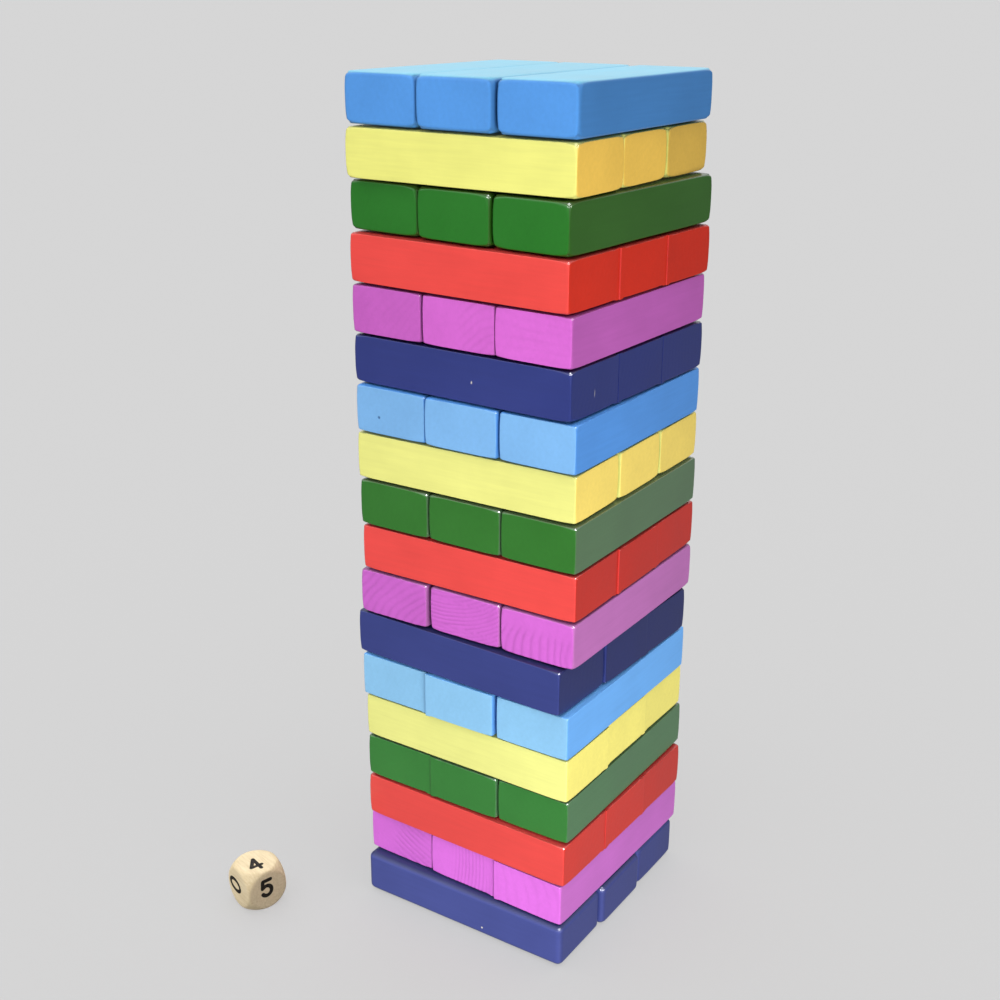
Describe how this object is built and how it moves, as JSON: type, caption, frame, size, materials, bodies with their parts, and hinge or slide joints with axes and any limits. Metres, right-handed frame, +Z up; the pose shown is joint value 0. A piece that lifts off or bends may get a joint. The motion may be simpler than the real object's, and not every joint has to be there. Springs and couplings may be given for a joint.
{
  "type": "tumbling tower",
  "caption": "Stacking game tower of painted wooden blocks laid in crossed layers, with a loose wooden number die beside it.",
  "frame": {"origin": "on the table surface, under the centre of the bottom layer, on the underside of its middle block", "axes": "+Z up the tower; +X along the blocks of the bottom layer (layer 1) and, within 3.5 degrees, of the other odd layers; +Y along the blocks of the even layers, within 3.5 degrees; the tower's front, which the die lies in front of, faces -Y"},
  "size_m": [0.1151, 0.1134, 0.2664],
  "materials": {
    "navy_paint": "satin paint on wood",
    "purple_paint": "satin paint on wood",
    "red_paint": "satin paint on wood",
    "green_paint": "satin paint on wood",
    "yellow_paint": "satin paint on wood",
    "light_blue_paint": "satin paint on wood",
    "natural_wood": "bare sanded wood with dark printed numbers"
  },
  "bodies": {
    "block_01_front": {"layer_01_navy_front": "navy_paint"},
    "base_block": {"layer_01_navy_middle": "navy_paint"},
    "block_01_back": {"layer_01_navy_back": "navy_paint"},
    "block_02_left": {"layer_02_purple_left": "purple_paint"},
    "block_02_middle": {"layer_02_purple_middle": "purple_paint"},
    "block_02_right": {"layer_02_purple_right": "purple_paint"},
    "block_03_front": {"layer_03_red_front": "red_paint"},
    "block_03_middle": {"layer_03_red_middle": "red_paint"},
    "block_03_back": {"layer_03_red_back": "red_paint"},
    "block_04_left": {"layer_04_green_left": "green_paint"},
    "block_04_middle": {"layer_04_green_middle": "green_paint"},
    "block_04_right": {"layer_04_green_right": "green_paint"},
    "block_05_front": {"layer_05_yellow_front": "yellow_paint"},
    "block_05_middle": {"layer_05_yellow_middle": "yellow_paint"},
    "block_05_back": {"layer_05_yellow_back": "yellow_paint"},
    "block_06_left": {"layer_06_light_blue_left": "light_blue_paint"},
    "block_06_middle": {"layer_06_light_blue_middle": "light_blue_paint"},
    "block_06_right": {"layer_06_light_blue_right": "light_blue_paint"},
    "block_07_front": {"layer_07_navy_front": "navy_paint"},
    "block_07_middle": {"layer_07_navy_middle": "navy_paint"},
    "block_07_back": {"layer_07_navy_back": "navy_paint"},
    "block_08_left": {"layer_08_purple_left": "purple_paint"},
    "block_08_middle": {"layer_08_purple_middle": "purple_paint"},
    "block_08_right": {"layer_08_purple_right": "purple_paint"},
    "block_09_front": {"layer_09_red_front": "red_paint"},
    "block_09_middle": {"layer_09_red_middle": "red_paint"},
    "block_09_back": {"layer_09_red_back": "red_paint"},
    "block_10_left": {"layer_10_green_left": "green_paint"},
    "block_10_middle": {"layer_10_green_middle": "green_paint"},
    "block_10_right": {"layer_10_green_right": "green_paint"},
    "block_11_front": {"layer_11_yellow_front": "yellow_paint"},
    "block_11_middle": {"layer_11_yellow_middle": "yellow_paint"},
    "block_11_back": {"layer_11_yellow_back": "yellow_paint"},
    "block_12_left": {"layer_12_light_blue_left": "light_blue_paint"},
    "block_12_middle": {"layer_12_light_blue_middle": "light_blue_paint"},
    "block_12_right": {"layer_12_light_blue_right": "light_blue_paint"},
    "block_13_front": {"layer_13_navy_front": "navy_paint"},
    "block_13_middle": {"layer_13_navy_middle": "navy_paint"},
    "block_13_back": {"layer_13_navy_back": "navy_paint"},
    "block_14_left": {"layer_14_purple_left": "purple_paint"},
    "block_14_middle": {"layer_14_purple_middle": "purple_paint"},
    "block_14_right": {"layer_14_purple_right": "purple_paint"},
    "block_15_front": {"layer_15_red_front": "red_paint"},
    "block_15_middle": {"layer_15_red_middle": "red_paint"},
    "block_15_back": {"layer_15_red_back": "red_paint"},
    "block_16_left": {"layer_16_green_left": "green_paint"},
    "block_16_middle": {"layer_16_green_middle": "green_paint"},
    "block_16_right": {"layer_16_green_right": "green_paint"},
    "block_17_front": {"layer_17_yellow_front": "yellow_paint"},
    "block_17_middle": {"layer_17_yellow_middle": "yellow_paint"},
    "block_17_back": {"layer_17_yellow_back": "yellow_paint"},
    "block_18_left": {"layer_18_light_blue_left": "light_blue_paint"},
    "block_18_middle": {"layer_18_light_blue_middle": "light_blue_paint"},
    "block_18_right": {"layer_18_light_blue_right": "light_blue_paint"},
    "die": {"number_die": "natural_wood"}
  },
  "joints": [
    {"name": "slide_01_front", "type": "slide", "parent": "base_block", "child": "block_01_front", "axis": [1, 0, 0], "range_m": [-0.08, 0.08]},
    {"name": "slide_01_back", "type": "slide", "parent": "base_block", "child": "block_01_back", "axis": [1, 0, 0], "range_m": [-0.08, 0.08]},
    {"name": "slide_02_left", "type": "slide", "parent": "base_block", "child": "block_02_left", "axis": [0.0209, 0.9998, 0], "range_m": [-0.08, 0.08]},
    {"name": "slide_02_middle", "type": "slide", "parent": "base_block", "child": "block_02_middle", "axis": [0.0209, 0.9998, 0], "range_m": [-0.08, 0.08]},
    {"name": "slide_02_right", "type": "slide", "parent": "base_block", "child": "block_02_right", "axis": [0.0209, 0.9998, 0], "range_m": [-0.08, 0.08]},
    {"name": "slide_03_front", "type": "slide", "parent": "base_block", "child": "block_03_front", "axis": [0.9998, -0.0175, 0], "range_m": [-0.08, 0.08]},
    {"name": "slide_03_middle", "type": "slide", "parent": "base_block", "child": "block_03_middle", "axis": [0.9998, -0.0175, 0], "range_m": [-0.08, 0.08]},
    {"name": "slide_03_back", "type": "slide", "parent": "base_block", "child": "block_03_back", "axis": [0.9998, -0.0175, 0], "range_m": [-0.08, 0.08]},
    {"name": "slide_04_left", "type": "slide", "parent": "base_block", "child": "block_04_left", "axis": [0, 1, 0], "range_m": [-0.08, 0.08]},
    {"name": "slide_04_middle", "type": "slide", "parent": "base_block", "child": "block_04_middle", "axis": [0, 1, 0], "range_m": [-0.08, 0.08]},
    {"name": "slide_04_right", "type": "slide", "parent": "base_block", "child": "block_04_right", "axis": [0, 1, 0], "range_m": [-0.08, 0.08]},
    {"name": "slide_05_front", "type": "slide", "parent": "base_block", "child": "block_05_front", "axis": [0.9999, -0.0105, 0], "range_m": [-0.08, 0.08]},
    {"name": "slide_05_middle", "type": "slide", "parent": "base_block", "child": "block_05_middle", "axis": [0.9999, -0.0105, 0], "range_m": [-0.08, 0.08]},
    {"name": "slide_05_back", "type": "slide", "parent": "base_block", "child": "block_05_back", "axis": [0.9999, -0.0105, 0], "range_m": [-0.08, 0.08]},
    {"name": "slide_06_left", "type": "slide", "parent": "base_block", "child": "block_06_left", "axis": [0.0035, 1, 0], "range_m": [-0.08, 0.08]},
    {"name": "slide_06_middle", "type": "slide", "parent": "base_block", "child": "block_06_middle", "axis": [0.0035, 1, 0], "range_m": [-0.08, 0.08]},
    {"name": "slide_06_right", "type": "slide", "parent": "base_block", "child": "block_06_right", "axis": [0.0035, 1, 0], "range_m": [-0.08, 0.08]},
    {"name": "slide_07_front", "type": "slide", "parent": "base_block", "child": "block_07_front", "axis": [0.9993, -0.0366, 0], "range_m": [-0.08, 0.08]},
    {"name": "slide_07_middle", "type": "slide", "parent": "base_block", "child": "block_07_middle", "axis": [0.9993, -0.0366, 0], "range_m": [-0.08, 0.08]},
    {"name": "slide_07_back", "type": "slide", "parent": "base_block", "child": "block_07_back", "axis": [0.9993, -0.0366, 0], "range_m": [-0.08, 0.08]},
    {"name": "slide_08_left", "type": "slide", "parent": "base_block", "child": "block_08_left", "axis": [0, 1, 0], "range_m": [-0.08, 0.08]},
    {"name": "slide_08_middle", "type": "slide", "parent": "base_block", "child": "block_08_middle", "axis": [0, 1, 0], "range_m": [-0.08, 0.08]},
    {"name": "slide_08_right", "type": "slide", "parent": "base_block", "child": "block_08_right", "axis": [0, 1, 0], "range_m": [-0.08, 0.08]},
    {"name": "slide_09_front", "type": "slide", "parent": "base_block", "child": "block_09_front", "axis": [1, 0.0052, 0], "range_m": [-0.08, 0.08]},
    {"name": "slide_09_middle", "type": "slide", "parent": "base_block", "child": "block_09_middle", "axis": [1, 0.0052, 0], "range_m": [-0.08, 0.08]},
    {"name": "slide_09_back", "type": "slide", "parent": "base_block", "child": "block_09_back", "axis": [1, 0.0052, 0], "range_m": [-0.08, 0.08]},
    {"name": "slide_10_left", "type": "slide", "parent": "base_block", "child": "block_10_left", "axis": [0, 1, 0], "range_m": [-0.08, 0.08]},
    {"name": "slide_10_middle", "type": "slide", "parent": "base_block", "child": "block_10_middle", "axis": [0, 1, 0], "range_m": [-0.08, 0.08]},
    {"name": "slide_10_right", "type": "slide", "parent": "base_block", "child": "block_10_right", "axis": [0, 1, 0], "range_m": [-0.08, 0.08]},
    {"name": "slide_11_front", "type": "slide", "parent": "base_block", "child": "block_11_front", "axis": [0.9999, 0.0105, 0], "range_m": [-0.08, 0.08]},
    {"name": "slide_11_middle", "type": "slide", "parent": "base_block", "child": "block_11_middle", "axis": [0.9999, 0.0105, 0], "range_m": [-0.08, 0.08]},
    {"name": "slide_11_back", "type": "slide", "parent": "base_block", "child": "block_11_back", "axis": [0.9999, 0.0105, 0], "range_m": [-0.08, 0.08]},
    {"name": "slide_12_left", "type": "slide", "parent": "base_block", "child": "block_12_left", "axis": [0.0035, 1, 0], "range_m": [-0.08, 0.08]},
    {"name": "slide_12_middle", "type": "slide", "parent": "base_block", "child": "block_12_middle", "axis": [0.0035, 1, 0], "range_m": [-0.08, 0.08]},
    {"name": "slide_12_right", "type": "slide", "parent": "base_block", "child": "block_12_right", "axis": [0.0035, 1, 0], "range_m": [-0.08, 0.08]},
    {"name": "slide_13_front", "type": "slide", "parent": "base_block", "child": "block_13_front", "axis": [0.9995, -0.0314, 0], "range_m": [-0.08, 0.08]},
    {"name": "slide_13_middle", "type": "slide", "parent": "base_block", "child": "block_13_middle", "axis": [0.9995, -0.0314, 0], "range_m": [-0.08, 0.08]},
    {"name": "slide_13_back", "type": "slide", "parent": "base_block", "child": "block_13_back", "axis": [0.9995, -0.0314, 0], "range_m": [-0.08, 0.08]},
    {"name": "slide_14_left", "type": "slide", "parent": "base_block", "child": "block_14_left", "axis": [0.0297, 0.9996, 0], "range_m": [-0.08, 0.08]},
    {"name": "slide_14_middle", "type": "slide", "parent": "base_block", "child": "block_14_middle", "axis": [0.0297, 0.9996, 0], "range_m": [-0.08, 0.08]},
    {"name": "slide_14_right", "type": "slide", "parent": "base_block", "child": "block_14_right", "axis": [0.0297, 0.9996, 0], "range_m": [-0.08, 0.08]},
    {"name": "slide_15_front", "type": "slide", "parent": "base_block", "child": "block_15_front", "axis": [0.9988, -0.0489, 0], "range_m": [-0.08, 0.08]},
    {"name": "slide_15_middle", "type": "slide", "parent": "base_block", "child": "block_15_middle", "axis": [0.9988, -0.0489, 0], "range_m": [-0.08, 0.08]},
    {"name": "slide_15_back", "type": "slide", "parent": "base_block", "child": "block_15_back", "axis": [0.9988, -0.0489, 0], "range_m": [-0.08, 0.08]},
    {"name": "slide_16_left", "type": "slide", "parent": "base_block", "child": "block_16_left", "axis": [0.061, 0.9981, 0], "range_m": [-0.08, 0.08]},
    {"name": "slide_16_middle", "type": "slide", "parent": "base_block", "child": "block_16_middle", "axis": [0.061, 0.9981, 0], "range_m": [-0.08, 0.08]},
    {"name": "slide_16_right", "type": "slide", "parent": "base_block", "child": "block_16_right", "axis": [0.061, 0.9981, 0], "range_m": [-0.08, 0.08]},
    {"name": "slide_17_front", "type": "slide", "parent": "base_block", "child": "block_17_front", "axis": [1, -0.0052, 0], "range_m": [-0.08, 0.08]},
    {"name": "slide_17_middle", "type": "slide", "parent": "base_block", "child": "block_17_middle", "axis": [1, -0.0052, 0], "range_m": [-0.08, 0.08]},
    {"name": "slide_17_back", "type": "slide", "parent": "base_block", "child": "block_17_back", "axis": [1, -0.0052, 0], "range_m": [-0.08, 0.08]},
    {"name": "slide_18_left", "type": "slide", "parent": "base_block", "child": "block_18_left", "axis": [0.0122, 0.9999, 0], "range_m": [-0.08, 0.08]},
    {"name": "slide_18_middle", "type": "slide", "parent": "base_block", "child": "block_18_middle", "axis": [0.0122, 0.9999, 0], "range_m": [-0.08, 0.08]},
    {"name": "slide_18_right", "type": "slide", "parent": "base_block", "child": "block_18_right", "axis": [0.0122, 0.9999, 0], "range_m": [-0.08, 0.08]},
    {"name": "die_lift", "type": "slide", "parent": "base_block", "child": "die", "axis": [0, 0, 1], "range_m": [0, 0.1]}
  ]
}
